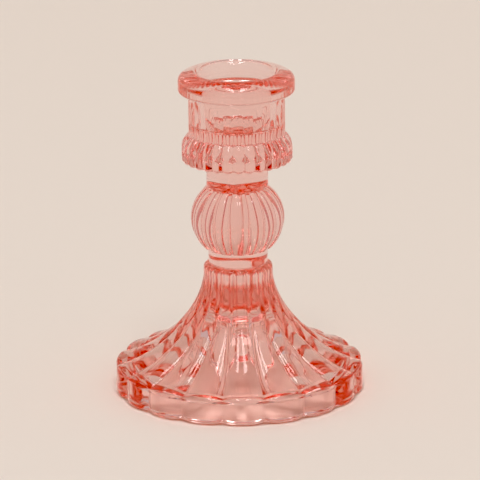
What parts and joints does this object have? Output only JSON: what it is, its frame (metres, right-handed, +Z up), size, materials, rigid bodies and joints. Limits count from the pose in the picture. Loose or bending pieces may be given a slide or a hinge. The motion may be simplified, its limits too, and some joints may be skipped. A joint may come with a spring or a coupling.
{
  "type": "glass candlestick",
  "caption": "Low pressed-glass candlestick: flared hollow foot with rounded lobes, ribbed ball knop, fluted candle socket with a rolled rim.",
  "frame": {"origin": "on the table, under the middle of the foot's resting ring", "axes": "+Z up along the axis of the stem and the candle; -Y towards the front, where one lobe of the foot has its middle"},
  "size_m": [0.0788, 0.08, 0.105],
  "materials": {
    "pink_glass": "clear pressed glass, fire-polished, tinted coral pink through its whole thickness"
  },
  "bodies": {
    "root": {"foot": "pink_glass", "lower_wafer": "pink_glass", "knop": "pink_glass", "upper_wafer": "pink_glass", "candle_socket": "pink_glass"}
  },
  "joints": []
}
